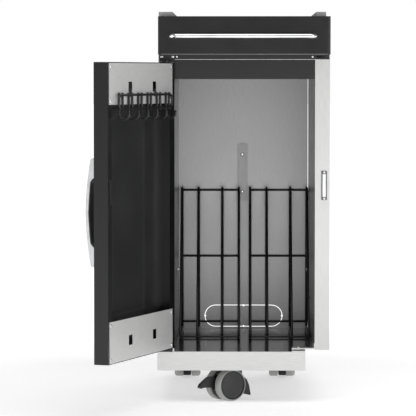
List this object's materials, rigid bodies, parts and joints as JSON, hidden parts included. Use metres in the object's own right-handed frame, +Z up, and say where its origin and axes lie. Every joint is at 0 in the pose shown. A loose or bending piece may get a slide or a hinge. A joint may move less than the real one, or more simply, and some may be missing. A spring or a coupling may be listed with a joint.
{
  "type": "grill cart storage cabinet",
  "caption": "Steel storage cabinet of an outdoor grill cart: hinged door with utensil rack, drawer with bar handle, wire grate racks and swivel casters.",
  "frame": {"origin": "on the floor, under the middle of the cabinet body", "axes": "+X to the right seen from the front, the front faces -Y, +Z up"},
  "size_m": [0.5425, 0.9844, 0.8975],
  "materials": {
    "stainless": "brushed",
    "black_paint": "gloss",
    "zinc": "zinc plated",
    "screw_steel": "bright",
    "magnet": "plated",
    "grey_plastic": "matte",
    "black_plastic": "satin",
    "handle_silver": "satin",
    "coated_wire": "satin",
    "chrome": "polished",
    "hub_plastic": "satin",
    "caster_rubber": "matte"
  },
  "bodies": {
    "cabinet": {"base_frame": "stainless", "caster_rails": "zinc", "floor_pan": "stainless", "left_side_panel": "stainless", "right_side_panel": "stainless", "left_liner": "stainless", "right_liner": "stainless", "back_panel": "stainless", "header_rail": "black_paint", "top_front_rail": "black_paint", "top_rear_rail": "zinc", "left_worktop_rail": "zinc", "right_worktop_rail": "zinc", "hinge_brackets": "black_paint", "hinge_pins": "screw_steel", "catch_housing": "grey_plastic", "catch_magnet": "magnet", "hanger_channel": "stainless", "rack_pegs": "screw_steel", "drawer_slides": "zinc", "corner_plate": "stainless", "cabinet_screws": "screw_steel", "caster_plates": "zinc", "caster_bolts": "screw_steel"},
    "door": {"door_shell": "black_paint", "door_top_plate": "stainless", "door_bottom_plate": "stainless", "door_bushes": "black_plastic", "handle_base": "black_plastic", "handle_lining": "black_plastic", "handle_bow": "handle_silver", "door_strike": "zinc", "door_screws": "screw_steel"},
    "utensil_rack": {"utensil_rack": "coated_wire"},
    "drawer": {"drawer_front": "black_paint", "drawer_box": "zinc", "drawer_bar": "chrome", "drawer_runners": "zinc"},
    "left_grate_rack": {"left_grate_rack": "coated_wire"},
    "right_grate_rack": {"right_grate_rack": "coated_wire"},
    "front_swivel": {"front_hood": "black_plastic", "front_axle": "screw_steel", "front_pedal_pin": "screw_steel"},
    "front_wheel_a": {"front_hub_a": "hub_plastic", "front_tyre_a": "caster_rubber"},
    "front_wheel_b": {"front_hub_b": "hub_plastic", "front_tyre_b": "caster_rubber"},
    "left_swivel": {"left_hood": "black_plastic", "left_axle": "screw_steel"},
    "left_wheel_a": {"left_hub_a": "hub_plastic", "left_tyre_a": "caster_rubber"},
    "left_wheel_b": {"left_hub_b": "hub_plastic", "left_tyre_b": "caster_rubber"},
    "right_swivel": {"right_hood": "black_plastic", "right_axle": "screw_steel"},
    "right_wheel_a": {"right_hub_a": "hub_plastic", "right_tyre_a": "caster_rubber"},
    "right_wheel_b": {"right_hub_b": "hub_plastic", "right_tyre_b": "caster_rubber"},
    "front_brake": {"front_pedal": "black_plastic"}
  },
  "joints": [
    {"name": "door_hinge", "type": "hinge", "parent": "cabinet", "child": "door", "pos_m": [-0.181, -0.324, 0.45], "axis": [0, 0, 1], "range_deg": [-10, 110]},
    {"name": "utensil_rack_lift", "type": "slide", "parent": "door", "child": "utensil_rack", "axis": [0, 0, 1], "range_m": [0, 0.012]},
    {"name": "drawer_slide", "type": "slide", "parent": "cabinet", "child": "drawer", "axis": [0, -1, 0], "range_m": [0, 0.35]},
    {"name": "left_grate_rack_lift", "type": "slide", "parent": "cabinet", "child": "left_grate_rack", "axis": [0, 0, 1], "range_m": [0, 0.05]},
    {"name": "right_grate_rack_lift", "type": "slide", "parent": "cabinet", "child": "right_grate_rack", "axis": [0, 0, 1], "range_m": [0, 0.05]},
    {"name": "front_swivel_turn", "type": "hinge", "parent": "cabinet", "child": "front_swivel", "pos_m": [-0.0245, -0.23, 0.09], "axis": [0, 0, 1], "continuous": true},
    {"name": "front_wheel_a_spin", "type": "hinge", "parent": "front_swivel", "child": "front_wheel_a", "pos_m": [-0.04274, -0.2423, 0.0375], "axis": [0.5592, -0.829, 0], "continuous": true},
    {"name": "front_wheel_b_spin", "type": "hinge", "parent": "front_swivel", "child": "front_wheel_b", "pos_m": [-0.04274, -0.2423, 0.0375], "axis": [0.5592, -0.829, 0], "continuous": true},
    {"name": "left_swivel_turn", "type": "hinge", "parent": "cabinet", "child": "left_swivel", "pos_m": [-0.14, 0.235, 0.09], "axis": [0, 0, 1], "continuous": true},
    {"name": "left_wheel_a_spin", "type": "hinge", "parent": "left_swivel", "child": "left_wheel_a", "pos_m": [-0.14, 0.257, 0.0375], "axis": [-1, 0, 0], "continuous": true},
    {"name": "left_wheel_b_spin", "type": "hinge", "parent": "left_swivel", "child": "left_wheel_b", "pos_m": [-0.14, 0.257, 0.0375], "axis": [-1, 0, 0], "continuous": true},
    {"name": "right_swivel_turn", "type": "hinge", "parent": "cabinet", "child": "right_swivel", "pos_m": [0.096, 0.235, 0.09], "axis": [0, 0, 1], "continuous": true},
    {"name": "right_wheel_a_spin", "type": "hinge", "parent": "right_swivel", "child": "right_wheel_a", "pos_m": [0.096, 0.257, 0.0375], "axis": [-1, 0, 0], "continuous": true},
    {"name": "right_wheel_b_spin", "type": "hinge", "parent": "right_swivel", "child": "right_wheel_b", "pos_m": [0.096, 0.257, 0.0375], "axis": [-1, 0, 0], "continuous": true},
    {"name": "front_brake_pedal", "type": "hinge", "parent": "front_swivel", "child": "front_brake", "pos_m": [-0.06098, -0.2546, 0.04], "axis": [0.5592, -0.829, 0], "range_deg": [0, 12]}
  ]
}
